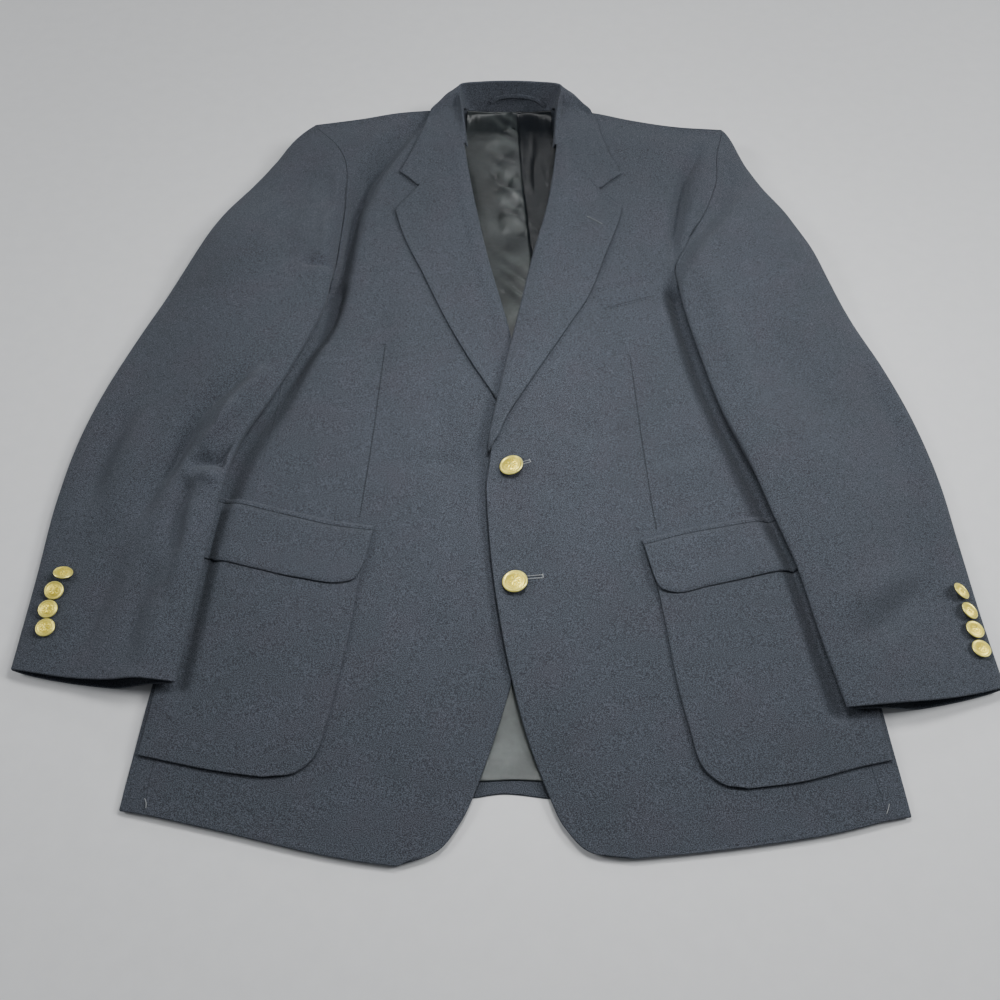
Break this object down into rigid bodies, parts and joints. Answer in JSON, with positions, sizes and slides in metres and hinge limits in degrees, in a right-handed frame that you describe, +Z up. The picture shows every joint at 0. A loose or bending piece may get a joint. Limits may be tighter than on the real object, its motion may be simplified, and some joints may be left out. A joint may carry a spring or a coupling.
{
  "type": "blazer",
  "caption": "Single-breasted wool blazer lying flat on its back, buttoned, with notched lapels, flapped patch pockets and metal shank buttons",
  "frame": {"origin": "middle of the blazer's outline at the surface that it lies on", "axes": "+X across to the wearer's left half, +Y from the hem to the collar, +Z up from the surface"},
  "size_m": [0.7762, 0.8655, 0.0435],
  "materials": {
    "wool": "soft brushed wool, matt",
    "lining": "smooth satin lining",
    "buttons": "polished gilt metal"
  },
  "bodies": {
    "root": {"back": "wool", "side_right": "wool", "side_left": "wool", "front_right": "wool", "front_left": "wool", "lapel_right": "wool", "lapel_left": "wool", "collar": "wool", "sleeve_top_right": "wool", "sleeve_top_left": "wool", "sleeve_under_right": "wool", "sleeve_under_left": "wool", "pocket_right": "wool", "pocket_left": "wool", "flap_right": "wool", "flap_left": "wool", "breast_welt": "wool", "lining": "lining", "hanger_loop": "wool", "button_front_1": "buttons", "button_front_2": "buttons", "button_cuff_right_1": "buttons", "button_cuff_right_2": "buttons", "button_cuff_right_3": "buttons", "button_cuff_right_4": "buttons", "button_cuff_left_1": "buttons", "button_cuff_left_2": "buttons", "button_cuff_left_3": "buttons", "button_cuff_left_4": "buttons"}
  },
  "joints": []
}
